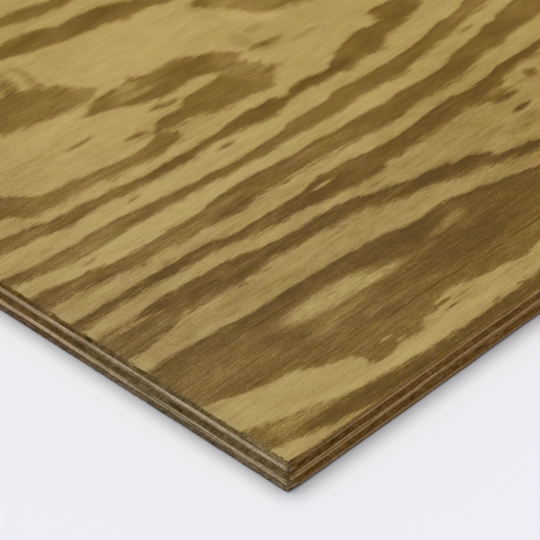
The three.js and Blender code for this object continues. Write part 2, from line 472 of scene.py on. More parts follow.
# Wood broken away from an arris, in millimetres. Each kind has its depth, the length of its
# grains, how strong its noise has to be and the number of it. Fibre ends leave notches and nicks,
# and fibres cut along leave splinters and flakes.
TORN_KINDS = ((0.8, 2.2, 0.0, 5), (0.6, 0.8, 0.0, 6))
SPLINTERED_KINDS = ((1.3, 14.0, 0.1, 7), (0.8, 3.5, 0.15, 8))


def sawn_relief(along, height, seed, depth, kinds):
    """Millimetres below flush of a sawn edge with those kinds of unevenness."""
    for amount, length, width, number in kinds:
        depth += amount * ripple(along, height, length, width, seed + number)
    return depth


def broken_arris(along, seed, kinds):
    """Millimetres that have broken away from an arris."""
    return sum(
        max(0.0, ripple(along, seed, length, 1.0, seed + number) - least) * amount
        for amount, length, least, number in kinds
    )


# Millimetres that each ply stands back where the saw ran with its fibres.
STAND_BACK = {BACK: 0.22, LOWER_CROSSBAND: 0.36, CORE: 0.08, UPPER_CROSSBAND: 0.38, FACE: 0.06}

# How far a groove wanders from a straight line, the length of its bends and the number of their
# noise, and the last share of its length, over which it closes.
GROOVE_WANDER = 0.12
GROOVE_BEND = 11.0
GROOVE_SEED = 3.0
GROOVE_CLOSING = 0.15


class Groove:
    """A check or split along a sawn edge, from one place to another, in millimetres."""

    def __init__(self, start, start_height, end, end_height, width, depth):
        self.start, self.start_height = start, start_height
        self.end, self.end_height = end, end_height
        self.width, self.depth = width, depth

    def at(self, along, height):
        """How deep the groove is at a place on the edge."""
        share = (along - self.start) / (self.end - self.start)
        if not 0.0 <= share <= 1.0:
            return 0.0
        line = self.start_height + (self.end_height - self.start_height) * share
        line += GROOVE_WANDER * ripple(along, 0.0, GROOVE_BEND, 1.0, GROOVE_SEED)
        closing = smooth_ramp(0.0, GROOVE_CLOSING, 1.0 - share)
        across = abs(height - line) / self.width
        return self.depth * closing * max(0.0, 1.0 - across * across)


# Places are measured from the worked corner, and heights from the back. The lower crossband has
# split along a stretch of the near end, and a check runs along the core's near side from the corner.
END_GROOVES = {LOWER_CROSSBAND: Groove(30.0, 3.9, 82.0, 4.7, 0.35, 0.45)}
SIDE_GROOVES = {CORE: Groove(0.0, 7.4, 46.0, 7.9, 0.4, 0.35)}

# The plies whose grain runs along the sheet, and where each ply starts in the edges' noise. The
# sheet's far sides start farther on.
GRAIN_ALONG_LENGTH = (BACK, CORE, FACE)
SEEDS = {BACK: 1.0, LOWER_CROSSBAND: 2.0, CORE: 3.0, UPPER_CROSSBAND: 4.0, FACE: 5.0}
FAR_SEED = 40.0

# How much farther a ply is set in at its two faces than halfway between them, and how sharply.
BULGE = 0.08
BULGE_POWER = 2.4

# Chips off the sheet's upper and lower edges on the near side: their middle, reach and depth, and
# the share of its reach over which a chip is at its full depth.
FACE_CHIPS = ((4.0, 7.0, 0.75), (11.0, 4.0, 0.25))
BACK_CHIPS = (
    (-1.0, 3.0, 1.4), (12.0, 10.0, 0.65), (3.0, 6.0, 0.3), (30.0, 14.0, 0.35), (130.0, 27.0, 0.8),
)
CHIP_FLOOR = 0.3

# How the sheet's outer arrises have broken: how much of the torn ends and of the splinters each
# has, its chips, how far from the arris that reaches, and how much of it takes painted shade as a
# recess. An edge is set in by MOST_WEAR at most for that.
ARRIS_WEAR = {
    FACE: (1.0, 0.6, FACE_CHIPS, 1.3, 0.7),
    BACK: (0.45, 0.4, BACK_CHIPS, 1.6, 0.3),
}
MOST_WEAR = 1.2

# How far knocks have worn each ply back at the sheet's corners, and how far along that shows.
# The first of each pair is for the end, the second for the long side. Then how uneven the wear
# is, the length and height of its grains, the number of its noise and how much painted shade it takes.
CORNER_WEAR = {
    BACK: (0.5, 0.9),
    LOWER_CROSSBAND: (0.4, 0.9),
    CORE: (0.6, 0.2),
    UPPER_CROSSBAND: (0.8, 1.0),
    FACE: (0.2, 0.9),
}
CORNER_WEAR_REACH = (4.0, 7.5)
CORNER_WEAR_ROUGHNESS = 0.7
CORNER_WEAR_GRAIN = (1.6, 0.8)
CORNER_WEAR_NUMBER = 9
CORNER_WEAR_RECESS_SHADE = 0.6


def chips(along, places):
    """The depth of the chips off an edge."""
    return sum(
        depth * (1.0 - smooth_ramp(CHIP_FLOOR * reach, reach, abs(along - middle)))
        for middle, reach, depth in places
    )


def arris_wear(node, along, from_arris, seed, cut_across, chipped):
    """(wear, painted recess shade) of an outer ply's edge, so far from the sheet's own arris."""
    torn, splintered, places, reach, recess_shade_share = ARRIS_WEAR[node]
    if cut_across:
        wear = torn * broken_arris(along, seed, TORN_KINDS)
    else:
        wear = splintered * broken_arris(along, seed, SPLINTERED_KINDS)
    if chipped:
        wear += chips(along, places)
    wear *= max(0.0, 1.0 - from_arris / reach)
    return min(wear, MOST_WEAR), recess_shade_share * wear


def corner_wear(node, along_end, along_side, outward):
    """Millimetres that knocks have worn a ply back by the sheet's upright corners."""
    from_corner = (
        min(along_end, SHEET_WIDTH_MM - along_end),
        min(along_side, SHEET_LENGTH_MM - along_side),
    )
    facing = (outward.x ** 2, outward.y ** 2)
    worn = 0.0
    for share, most, reach, away in zip(facing, CORNER_WEAR[node], CORNER_WEAR_REACH, from_corner):
        worn += share * most * (1.0 - smooth_ramp(0.0, reach, away))
    return worn


def edge_relief(node, place, outward, drop, thickness):
    """(inset, recess_shade) at a point of a ply's edge: millimetres inwards, and how much painted shade its
    recess takes.
    """
    along_end = (place.y - CORNER.y) / MM
    along_side = (place.x - CORNER.x) / MM
    height = place.z / MM
    on_end = abs(outward.x) > abs(outward.y)
    along = along_end if on_end else along_side
    far = (outward.x + outward.y) > 0
    seed = SEEDS[node]
    side_seed = seed + (FAR_SEED if far else 0.0)
    cut_across = on_end == (node in GRAIN_ALONG_LENGTH)
    if cut_across:
        inset = max(0.0, sawn_relief(along, height, side_seed, END_GRAIN_DEPTH, END_GRAIN_KINDS))
    else:
        inset = max(0.0, sawn_relief(along, height, side_seed, SIDE_GRAIN_DEPTH, SIDE_GRAIN_KINDS))
        inset += STAND_BACK[node]
    from_middle = abs(2.0 * drop / thickness - 1.0)
    inset += BULGE * from_middle ** BULGE_POWER
    # The painted shade of a recess starts from its depth below flush.
    recess_shade = inset
    if node in ARRIS_WEAR:
        drop_mm = drop / MM
        from_arris = drop_mm if node == FACE else thickness / MM - drop_mm
        chipped = not on_end and not far
        wear, wear_recess_shade = arris_wear(node, along, from_arris, side_seed, cut_across, chipped)
        inset += wear
        recess_shade += wear_recess_shade
    worn = corner_wear(node, along_end, along_side, outward)
    unevenness = ripple(along, height, *CORNER_WEAR_GRAIN, seed + CORNER_WEAR_NUMBER)
    inset += worn * (1.0 + CORNER_WEAR_ROUGHNESS * unevenness)
    recess_shade += CORNER_WEAR_RECESS_SHADE * worn
    groove = (END_GROOVES if on_end else SIDE_GROOVES).get(node)
    if groove and not far:
        cut = groove.at(along, height)
        inset += cut
        recess_shade += cut
    return inset, recess_shade


def level_key(drop):
    """What a level's inset is looked up by: its drop to the nearest micrometre."""
    return round(drop / MM, 3)


def saw_edges(bm, node, low, high, levels, corner_radius):
    """Shapes a ply's edge: rounds its corners and arrises and adds the relief that the saw left."""
    recess_shade_layer = bm.verts.layers.float.new("recess_shade")
    drop_layer = bm.verts.layers.float["drop"]
    inset_of = {level_key(drop): inset for drop, inset in levels}
    thickness = high.z - low.z
    inner_low = low + Vector((corner_radius, corner_radius, 0))
    inner_high = high - Vector((corner_radius, corner_radius, 0))
    for vert in bm.verts:
        drop = vert[drop_layer]
        if drop == NO_DROP:
            continue
        place = vert.co.copy()
        centre = Vector((
            min(max(place.x, inner_low.x), inner_high.x),
            min(max(place.y, inner_low.y), inner_high.y),
            place.z,
        ))
        outward = (place - centre).normalized()
        inset, recess_shade = edge_relief(node, place, outward, drop, thickness)
        reach = corner_radius - inset_of[level_key(drop)] - inset * MM
        vert.co = centre + outward * reach
        # Stored for the shaders, which paint it as shade in the recesses.
        vert[recess_shade_layer] = recess_shade


# The slots of a ply's materials: its upper and lower faces, its two ends and its two long sides.
FACE_SLOT, END_SLOT, SIDE_SLOT = range(3)

# A normal's upright part above which a mesh face is taken to lie flat, and above which it is level.
LYING_FLAT = 0.9
LEVEL = 0.9999

# How far in from the outline the edges' materials reach.
EDGE_REACH = 1.5 * MM


def assign_edge_materials(bm, low, high):
    """Gives the rim of the ply's mesh its ends' and sides' materials, and the rest its face's."""
    for face in bm.faces:
        if abs(face.normal.z) > LYING_FLAT and len(face.verts) != 4:
            face.material_index = FACE_SLOT
            continue
        middle = face.calc_center_median()
        from_end = min(middle.x - low.x, high.x - middle.x)
        from_side = min(middle.y - low.y, high.y - middle.y)
        if min(from_end, from_side) > EDGE_REACH:
            face.material_index = FACE_SLOT
        else:
            face.material_index = END_SLOT if from_end < from_side else SIDE_SLOT


def finish_piece(bm, name, node, materials):
    """Makes the ply's object, which rides on the sheet in the place of its CAD node."""
    mesh = bpy.data.meshes.new(name)
    for face in bm.faces:
        face.smooth = abs(face.normal.z) < LEVEL
    bm.to_mesh(mesh)
    bm.free()
    for material in materials:
        mesh.materials.append(material)
    piece = bpy.data.objects.new(name, mesh)
    bpy.context.scene.collection.objects.link(piece)
    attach(piece, BODY)
    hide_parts(node)


# ---------------------------------------------------------------- materials


NO_OFFSET = (0.0, 0.0, 0.0)


class Finish:
    """A material, with short ways to lay out its nodes."""

    def __init__(self, name, roughness, specular=0.35):
        self.material = bpy.data.materials.new(name)
        self.material.use_nodes = True
        self.tree = self.material.node_tree
        self.shader = self.tree.nodes["Principled BSDF"]
        self.shader.inputs["Roughness"].default_value = roughness
        self.shader.inputs["Specular IOR Level"].default_value = specular
        self.column = 0

    def node(self, kind, inputs, **settings):
        """A new node. Each input is joined to the socket, or set to the value, given for it."""
        made = self.tree.nodes.new(kind)
        made.location = (-1800 + 40 * self.column, 300 - 190 * (self.column % 5))
        self.column += 1
        for name, value in settings.items():
            setattr(made, name, value)
        for key, value in inputs.items():
            if isinstance(value, bpy.types.NodeSocket):
                self.tree.links.new(value, made.inputs[key])
            else:
                made.inputs[key].default_value = value
        return made

    def place(self, offset=NO_OFFSET):
        """Millimetres from the worked corner, with an offset added."""
        coordinates = self.node("ShaderNodeTexCoord", {})
        shift = [-CORNER[i] / MM + offset[i] for i in range(3)]
        return self.node("ShaderNodeMapping", {
            "Vector": coordinates.outputs["Object"],
            "Location": shift,
            "Scale": (1 / MM,) * 3,
        }).outputs["Vector"]

    def stretched(self, place, size):
        """The place counted in grains of that size, in millimetres."""
        return self.node("ShaderNodeMapping", {
            "Vector": place,
            "Scale": [1.0 / s for s in size],
        }).outputs["Vector"]

    def noise(self, place, size, detail=2.0, roughness=0.5, distortion=0.0):
        """Noise about 0, from about -1 to 1."""
        made = self.node("ShaderNodeTexNoise", {
            "Vector": self.stretched(place, size),
            "Scale": 1.0,
            "Detail": detail,
            "Roughness": roughness,
            "Distortion": distortion,
        })
        return self.math("MULTIPLY_ADD", made.outputs["Fac"], 2.0, -1.0)

    def parts(self, place):
        """The x, y and z of a place."""
        return self.node("ShaderNodeSeparateXYZ", {"Vector": place}).outputs

    def steps_from(self, place, middle, reach):
        """How far a place is from a middle, counted in its reach. A reach of None counts as endless."""
        nearby = self.node("ShaderNodeMapping", {
            "Vector": place,
            "Location": [-m / r if r else 0.0 for m, r in zip(middle, reach)],
            "Scale": [1 / r if r else 0.0 for r in reach],
        }).outputs["Vector"]
        return self.node("ShaderNodeVectorMath", {0: nearby}, operation="LENGTH").outputs["Value"]

    def math(self, operation, first, second=0.0, third=0.0):
        """Arithmetic on up to three values."""
        inputs = {0: first, 1: second, 2: third}
        return self.node("ShaderNodeMath", inputs, operation=operation).outputs[0]

    def sum(self, *terms):
        """The sum of values and of (value, weight) pairs."""
        total = None
        for term in terms:
            value, weight = term if isinstance(term, tuple) else (term, 1.0)
            if total is None:
                total = self.math("MULTIPLY", value, weight)
            else:
                total = self.math("MULTIPLY_ADD", value, weight, total)
        return total

    def ramp(self, value, low, high, start=0.0, end=1.0):
        """Eases from start to end as the value goes from low to high."""
        return self.node("ShaderNodeMapRange", {
            "Value": value,
            "From Min": low,
            "From Max": high,
            "To Min": start,
            "To Max": end,
        }, interpolation_type="SMOOTHSTEP").outputs["Result"]

    def between(self, share, first, second):
        """The first value at share 0 and the second at 1."""
        return self.math("MULTIPLY_ADD", self.math("SUBTRACT", second, first), share, first)

    def scale(self, value, colours):
        """A colour off a scale of colours spread evenly from 0 to 1."""
        made = self.node("ShaderNodeValToRGB", {"Fac": value})
        elements = made.color_ramp.elements
        last = len(colours) - 1
        for number in range(1, last):
            elements.new(number / last)
        for element, colour in zip(elements, colours):
            element.color = (*colour, 1.0)
        return made.outputs["Color"]

    def blend(self, share, first, second, blend_type="MIX"):
        """The first colour at share 0 and the second, laid over it that way, at 1."""
        made = self.node("ShaderNodeMix", {}, data_type="RGBA", blend_type=blend_type)
        for index, value in ((0, share), (6, first), (7, second)):
            if isinstance(value, bpy.types.NodeSocket):
                self.tree.links.new(value, made.inputs[index])
            elif index == 0:
                made.inputs[0].default_value = value
            else:
                made.inputs[index].default_value = (*value, 1.0)
        return made.outputs[2]

    def shade(self, colour, amount):
        """The colour made lighter or darker by a signed share."""
        gain = self.math("ADD", amount, 1.0)
        grey = self.node("ShaderNodeCombineColor", {0: gain, 1: gain, 2: gain}).outputs[0]
        return self.blend(1.0, colour, grey, "MULTIPLY")

    def tint(self, colour, hue, saturation, value=1.0):
        """The colour with its hue turned from 0.5, and its saturation and value scaled."""
        return self.node("ShaderNodeHueSaturation", {
            "Hue": hue,
            "Saturation": saturation,
            "Value": value,
            "Color": colour,
        }).outputs["Color"]

    def attribute(self, name):
        """A value stored on the points of the mesh."""
        return self.node("ShaderNodeAttribute", {}, attribute_name=name).outputs["Fac"]

    def close(self, colour, height, bump_distance, roughness=None):
        """Joins colour, relief and roughness to the shader."""
        self.tree.links.new(colour, self.shader.inputs["Base Color"])
        relief = {"Height": height, "Distance": bump_distance, "Strength": 1.0}
        bump = self.node("ShaderNodeBump", relief)
        self.tree.links.new(bump.outputs["Normal"], self.shader.inputs["Normal"])
        if roughness is not None:
            self.tree.links.new(roughness, self.shader.inputs["Roughness"])
        return self.material


# Rings of a rotary cut: how far apart they are across the grain and along it, the distance across
# it in which they close up and open again and how many rings that moves them by, all lengths in
# millimetres. Then the share of a ring that is latewood, and how fast its depth rises from the
# ring's near edge and falls at its far one.
RING_SPACING = 62.0
RING_SPACING_ALONG = 1500.0
RING_CYCLE = 760.0
RING_SWING = 4.2
LATEWOOD_SHARE = 0.42
RING_RISE = 11.0
RING_FALL = 22.0


def ring_depth(finish, place):
    """Depth in the latewood of a rotary cut, whose rings widen, close and open again."""
    x, y, z = finish.parts(place)
    drift = finish.noise(place, (1500.0, 420.0, 1.0), detail=2.0)
    swell = finish.noise(place, (420.0, 110.0, 1.0), detail=2.0)
    waver = finish.noise(place, (90.0, 34.0, 1.0), detail=1.0)
    turn = finish.math("SINE", finish.sum((y, 2 * math.pi / RING_CYCLE), (drift, 1.6)))
    rings = finish.sum(
        (y, 1 / RING_SPACING), (turn, RING_SWING), (x, 1 / RING_SPACING_ALONG),
        (drift, 2.2), (swell, 1.1), (waver, 0.16),
    )
    share = finish.math("FRACT", rings)
    width = finish.sum((finish.noise(place, (300.0, 60.0, 1.0)), 0.16), LATEWOOD_SHARE)
    rise = finish.math("MULTIPLY", share, RING_RISE)
    fall = finish.math("MULTIPLY", finish.math("SUBTRACT", width, share), RING_FALL)
    before = finish.math("MULTIPLY_ADD", share, RING_RISE, -RING_RISE)
    return finish.math("MAXIMUM", finish.math("MINIMUM", rise, fall), before)


def fine_marks(finish, place, fray):
    """How much darker the figure's finest marks are, each a slim frayed lens along the grain."""
    total = 0.0
    for x, y, reach_x, reach_y, amount in FINE_MARKS:
        middle = (x + FIGURE_SHIFT[0], y + FIGURE_SHIFT[1], 0.0)
        away = finish.steps_from(place, middle, (reach_x, reach_y, None))
        frayed = finish.math("MULTIPLY_ADD", fray, 1.2, away)
        total = finish.math("ADD", finish.ramp(frayed, 0.5, 1.3, amount, 0.0), total)
    return total


# The width of the sheet's rim in millimetres, in full and where it has faded out.
RIM_WIDTHS = (1.5, 3.0)


def near_outline(finish):
    """1 on the rim of the sheet's faces and 0 farther in."""
    x, y, z = finish.parts(finish.place())
    from_end = finish.math("MINIMUM", x, finish.math("SUBTRACT", SHEET_LENGTH_MM, x))
    from_side = finish.math("MINIMUM", y, finish.math("SUBTRACT", SHEET_WIDTH_MM, y))
    return finish.ramp(finish.math("MINIMUM", from_end, from_side), *RIM_WIDTHS, 1.0, 0.0)


def corner_figure(finish, place, fray, depth, tone):
    """The depth and tone of the worked corner's figure, which give way to those of the rest."""
    x, y, z = finish.parts(place)
    outside = [finish.sum((x, a), (y, b), -c) for a, b, c in CORNER_FIGURE_SIDES]
    outside = finish.math("MAXIMUM", finish.math("MAXIMUM", outside[0], outside[1]), outside[2])
    beyond = finish.ramp(outside, CORNER_FIGURE_START, CORNER_FIGURE_END)
    held = finish.math("MAXIMUM", finish.math("MINIMUM", depth, FIGURE_REACH), -FIGURE_REACH)
    own_tone = finish.math("ADD", finish.attribute("tone"), fine_marks(finish, place, fray))
    return (
        finish.between(beyond, finish.attribute("latewood"), held),
        finish.between(beyond, own_tone, tone),
    )


def drifted(finish, place, from_corner, colour):
    """The colour as it drifts: greyer at the near end, richer by the near side, mellow far off."""
    x, y, z = finish.parts(place)
    mellow = finish.ramp(from_corner, 60.0, 420.0)
    warmth = finish.noise(place, (22.0, 3.4, 1.0), detail=4.0, roughness=0.65)
    greyer_end = finish.ramp(finish.math("MULTIPLY_ADD", warmth, 4.0, x), 0.0, 5.0, 0.07, 0.0)
    blush = finish.noise(place, (15.0, 8.0, 1.0), detail=3.0)
    richer = finish.ramp(y, 10.0, 80.0, 0.035, 0.0)
    hue = finish.sum((mellow, -0.003), (warmth, -0.012), (blush, -0.011), 0.5)
    saturation = finish.sum((mellow, 0.07), (warmth, -0.08), (greyer_end, -1.0), richer, 1.0)
    return finish.tint(colour, hue, saturation, finish.sum((mellow, 0.08), (warmth, 0.1), 1.0))


# The general roughness of a veneer's face and how strongly it reflects.
FACE_ROUGHNESS = 0.72
FACE_SPECULAR = 0.12


def veneer_figure(name, look, offset, worked_corner):
    """The flat face of a peeled pine veneer: dark latewood, pale earlywood and fibres."""
    finish = Finish(name, FACE_ROUGHNESS, FACE_SPECULAR)
    place = finish.place(offset)
    fray = finish.noise(place, (7.0, 0.5, 1.0), detail=3.0, roughness=0.65)
    scallop = finish.noise(place, (11.0, 3.2, 1.0), detail=2.0, roughness=0.55)
    fibres = finish.noise(place, (8.0, 0.42, 1.0), detail=3.0, roughness=0.75)
    streaks = finish.noise(place, (34.0, 1.5, 1.0), detail=2.0, roughness=0.6)
    clouds = finish.noise(place, (48.0, 11.0, 1.0), detail=3.0)
    pores = finish.noise(place, (1.3, 0.36, 1.0), detail=2.0, roughness=0.6)
    x, y, z = finish.parts(place)
    from_corner = finish.math("ADD", x, y)
    depth = ring_depth(finish, place)
    tone = finish.math("MULTIPLY", finish.noise(place, (120.0, 16.0, 1.0), detail=2.0), 0.3)
    if worked_corner:
        depth, tone = corner_figure(finish, place, fray, depth, tone)
    worn = finish.ramp(from_corner, 160.0, 480.0, 1.0, 0.5)
    crisp = finish.ramp(from_corner, 120.0, 420.0, 1.0, 0.58)
    frayed = finish.math("MULTIPLY", fray, worn)
    late = finish.sum(depth, (frayed, 2.5), (scallop, 1.4))
    late = finish.ramp(finish.math("MULTIPLY", late, crisp), -0.75, 0.75)
    toned = finish.math("MULTIPLY", tone, finish.math("MULTIPLY_ADD", fray, 2.0, 1.45))
    base = finish.math("MULTIPLY_ADD", late, 0.5, 0.2)
    grain = finish.sum((fibres, 0.42), (streaks, 0.2), (clouds, 0.24), (pores, 0.45))
    coarser = finish.math("MULTIPLY", late, finish.math("MULTIPLY_ADD", worn, 1.0, -0.74))
    grain = finish.math("MULTIPLY", grain, finish.math("ADD", coarser, 0.9))
    blotches = finish.noise(place, (13.0, 4.6, 1.0), detail=2.0)
    darkness = finish.sum(base, toned, finish.math("MULTIPLY", grain, worn), (blotches, 0.13))
    dash_field = finish.noise(place, (4.5, 0.42, 1.0), detail=1.0, roughness=0.4)
    sparse = finish.noise(place, (60.0, 22.0, 1.0), detail=1.0)
    dashes = finish.ramp(finish.sum(dash_field, (sparse, 0.35)), 0.55, 0.8)
    darkness = finish.math("MULTIPLY_ADD", dashes, 0.3, darkness)
    # Painted shade on the face's rim where its arris is worn in.
    recess_shade = finish.ramp(finish.attribute("recess_shade"), 0.1, 1.2, 0.0, 0.7)
    recess_shade = finish.math("MULTIPLY", recess_shade, near_outline(finish))
    colour = finish.scale(finish.math("ADD", darkness, recess_shade), look.stops())
    colour = drifted(finish, place, from_corner, colour)
    height = finish.sum((late, 0.3), (fibres, 0.35), (pores, 0.35))
    roughness = finish.sum((late, -0.05), (clouds, 0.06), FACE_ROUGHNESS)
    return finish.close(colour, height, 0.14 * MM, roughness)


class Line:
    """A pale line along a ply's sawn edge, with a height that may slope, in millimetres: partly the fibres'
    own paleness, partly painted highlight where the ply stands proud.
    """

    def __init__(self, height, half_width, amount, slope=0.0, start=None, end=None):
        self.height, self.half_width, self.amount = height, half_width, amount
        self.slope, self.start, self.end = slope, start, end


# Pale lines of the plies' side grain, on the near end and on the near side: partly the fibres' own
# paleness and partly painted highlight where a ply stands proud. Places are measured from the worked
# corner, and heights from the back.
END_LINES = {
    UPPER_CROSSBAND: (
        Line(12.5, 1.35, 1.0), Line(11.3, 1.5, 0.8), Line(10.4, 0.9, 0.5, start=118.0),
    ),
    LOWER_CROSSBAND: (
        Line(4.1, 0.75, 1.15, slope=0.027, end=72.0),
        Line(3.3, 0.85, 1.05, slope=0.012, start=52.0, end=106.0), Line(4.7, 1.9, 1.0, start=102.0),
        Line(3.8, 0.9, 0.5, end=54.0), Line(5.8, 0.5, 0.65, end=18.0),
        Line(5.5, 1.3, 0.5, end=44.0), Line(5.5, 1.3, 0.72, start=38.0),
    ),
}
SIDE_LINES = {
    FACE: (
        Line(13.5, 0.85, 0.6, start=4.0), Line(13.5, 0.85, 1.0, start=36.0, end=92.0),
        # The thin line at a height of 15.2 is a painted highlight along the arris.
        Line(15.2, 0.3, 0.3, end=66.0), Line(12.9, 0.85, 1.0, slope=0.008, start=84.0, end=150.0),
        Line(13.8, 1.3, 0.55, start=126.0),
    ),
    CORE: (
        Line(6.8, 0.95, 1.0, end=48.0), Line(8.7, 1.0, 0.75, end=48.0),
        Line(7.8, 1.6, 1.0, start=46.0, end=80.0), Line(8.4, 1.1, 1.0, start=74.0),
        Line(7.1, 0.9, 0.45, start=84.0), Line(7.2, 0.5, 0.5, start=104.0),
    ),
    BACK: (Line(1.9, 1.1, 0.6),),
}

# Places on the near end and the near side that differ from the rest of their ply: how far along,
# the height, their reach both ways, and how much darker they are. Most are the wood's own tone, and
# the few noted below are painted light and painted shade.
END_PLACES = {
    FACE: (
        (11, 13.8, 10, 1.45, -0.5), (22.5, 14.2, 2.6, 1.4, -0.35), (40, 14.4, 8, 1, 0.2),
        (109, 14.4, 6, 1.3, 0.5), (122, 13.6, 6, 1.2, 0.3), (90, 13.9, 10, 1.5, -0.2),
        (134, 14, 6, 1.5, -0.25), (17, 14.9, 5, 1, -0.3), (7.5, 15.2, 4, 0.8, 0.32),
        (146, 14.4, 5, 1.2, 0.3), (79, 15, 4, 0.9, 0.25),
    ),
    UPPER_CROSSBAND: (
        # The paler places at heights of about 12, along the ply's top, are painted light.
        (48, 12.2, 18, 0.9, -0.35), (14, 11.6, 5, 0.7, -0.2), (9, 10.3, 9, 0.7, 0.28),
        (84, 12.1, 28, 0.6, -0.25), (129, 12, 10, 0.8, -0.3), (88, 10.9, 30, 0.7, 0.22),
        (60, 9.7, 120, 0.35, -0.3),
    ),
    CORE: (
        (8, 7.3, 4, 0.8, -0.2), (2, 7.9, 2.5, 1.3, 0.25), (59, 7.8, 7, 1.8, 0.4),
        (42, 8.6, 8, 1.1, 0.15), (114, 8, 7, 1.8, 0.3), (127, 7.4, 8, 1.6, 0.2),
        (16, 6.4, 14, 0.6, 0.15), (92, 8.3, 22, 0.9, 0.16), (18, 8.2, 16, 0.8, 0.12),
    ),
    LOWER_CROSSBAND: (
        # The dark place 76 along, in the split, is painted shade.
        (76, 4.9, 3, 0.45, 0.9), (80, 5.4, 10, 0.7, 0.4), (37, 3.7, 16, 0.9, -0.13),
        (88, 3.5, 14, 0.6, -0.35), (139, 5.6, 9, 0.6, -0.45), (138, 3.5, 14, 0.7, 0.35),
        (15, 6.1, 8, 0.5, -0.42), (34, 4.9, 9, 0.4, -0.3), (116, 3.4, 7, 0.6, 0.25),
        (97, 3.6, 4, 0.6, -0.3),
    ),
    BACK: (
        (44, 2.1, 12, 0.6, 0.15), (62, 1.9, 6, 0.9, 0.1), (3, 1.9, 7, 1.2, -0.3),
        (110, 2.4, 14, 0.6, 0.2), (26, 2.7, 26, 0.6, -0.08), (90, 1.2, 12, 1.0, -0.15),
        (97, 2, 4, 1, -0.2),
    ),
}
SIDE_PLACES = {
    FACE: (
        # The two paler places at a height of 15.4 are a painted highlight along the face's arris.
        (2, 12.8, 3, 1, 0.5), (42, 15.4, 4.5, 0.3, -0.5), (57, 15.4, 6, 0.3, -0.4),
        (12, 13.3, 12, 0.8, 0.3), (127, 14.4, 6, 0.6, 0.3),
    ),
    UPPER_CROSSBAND: (
        (7.5, 11.4, 3.5, 1.3, 0.45), (1.2, 10.3, 2.8, 1.2, -0.8), (16, 10.7, 4, 1.3, 0.3),
        (25, 11.3, 5, 1.3, 0.35), (33, 11, 2.5, 1.5, 0.3), (52, 11.5, 4, 1.2, 0.15),
        (82, 11, 3, 1.4, -0.2), (104, 11.2, 4, 1.2, -0.2), (113, 12.3, 1.6, 0.7, 0.5),
        (128, 11.2, 5, 1.3, 0.2),
    ),
    CORE: (
        (77, 6.6, 4, 0.6, 0.6), (85, 6.8, 3.5, 0.8, 0.25), (98, 7.1, 2, 0.9, 0.3),
        (2, 8.8, 3, 0.6, 0.5),
    ),
    LOWER_CROSSBAND: (
        (3, 5.5, 4, 1, 0.25), (8, 4.9, 2.5, 0.8, -0.15), (71, 4, 1.8, 1.4, 0.4),
        (97, 4, 2, 1.3, 0.4), (110, 5.5, 4, 0.9, 0.35), (120, 4.8, 5, 1.3, -0.25),
        (13, 4.8, 8, 1.2, 0.2), (48, 5.3, 5, 0.9, 0.2), (86, 4.2, 5, 1.4, -0.15),
        (36, 4.2, 3, 1.4, 0.15),
    ),
    BACK: (
        (4.6, 1.4, 2.2, 1.0, 0.7), (2.4, 2.4, 3.2, 0.8, -0.8), (120, 1.0, 6, 0.6, 0.3),
        (60, 1.7, 40, 1.0, -0.1),
    ),
}

# How far the lines of the near end droop at the corner, how far along that shows, how much of
# their paleness is left there and where it starts to come back.
DROOP = 0.8
DROOP_REACH = 5.0
CORNER_FADE = 0.6
CORNER_FADE_START = 0.5

# How far before and after its start, and before and after its end, a line fades.
START_FADE = 5.0
END_FADE = 6.0


def pale_and_highlit_lines(finish, place, lines, on_end, wobble):
    """How pale a ply's edge is from the lines that run along it: their own paleness and painted highlight.
    """
    x, y, z = finish.parts(place)
    along = y if on_end else x
    level = finish.math("ADD", z, wobble)
    if on_end:
        level = finish.math("ADD", level, finish.ramp(along, 0.0, DROOP_REACH, DROOP, 0.0))
    total = 0.0
    for line in lines:
        centre = line.height
        if line.slope:
            centre = finish.math("MULTIPLY_ADD", along, line.slope, line.height)
        away = finish.math("ABSOLUTE", finish.math("SUBTRACT", level, centre))
        pale = finish.ramp(away, 0.0, line.half_width, line.amount, 0.0)
        if line.start is not None:
            begun = finish.ramp(along, line.start - START_FADE, line.start + START_FADE)
            pale = finish.math("MULTIPLY", pale, begun)
        if line.end is not None:
            left = finish.ramp(along, line.end - END_FADE, line.end + END_FADE, 1.0, 0.0)
            pale = finish.math("MULTIPLY", pale, left)
        total = finish.math("MAXIMUM", pale, total)
    if on_end:
        kept = finish.ramp(along, CORNER_FADE_START, DROOP_REACH, CORNER_FADE, 1.0)
        total = finish.math("MULTIPLY", total, kept)
    return total


def darker_places(finish, place, places, on_end):
    """How much darker an edge is for the places that differ, each a patch with worn bounds."""
    fray = finish.noise(place, (2.2, 2.2, 0.8), detail=2.0, roughness=0.6)
    total = 0.0
    for along, height, reach_along, reach_height, amount in places:
        reach = (None, reach_along, reach_height) if on_end else (reach_along, None, reach_height)
        away = finish.steps_from(place, (along, along, height), reach)
        frayed = finish.math("MULTIPLY_ADD", fray, 0.5, away)
        total = finish.math("ADD", finish.ramp(frayed, 0.3, 1.15, amount, 0.0), total)
    return total


# The slant of the scratches that the saw's teeth have left.
SAW_SLANT = math.radians(52)


def saw_marks(finish, place, on_end):
    """Scratches that the saw's teeth have left aslant on an edge, as noise about 0."""
    turn = (SAW_SLANT, 0.0, 0.0) if on_end else (0.0, -SAW_SLANT, 0.0)
    turned = finish.node("ShaderNodeMapping", {"Vector": place, "Rotation": turn})
    slanted = turned.outputs["Vector"]
    coarse = finish.noise(slanted, (4.0, 4.0, 0.55), detail=2.0, roughness=0.6)
    broad = finish.noise(slanted, (9.0, 9.0, 1.7), detail=1.0)
    return finish.sum((coarse, 0.8), (broad, 0.4))


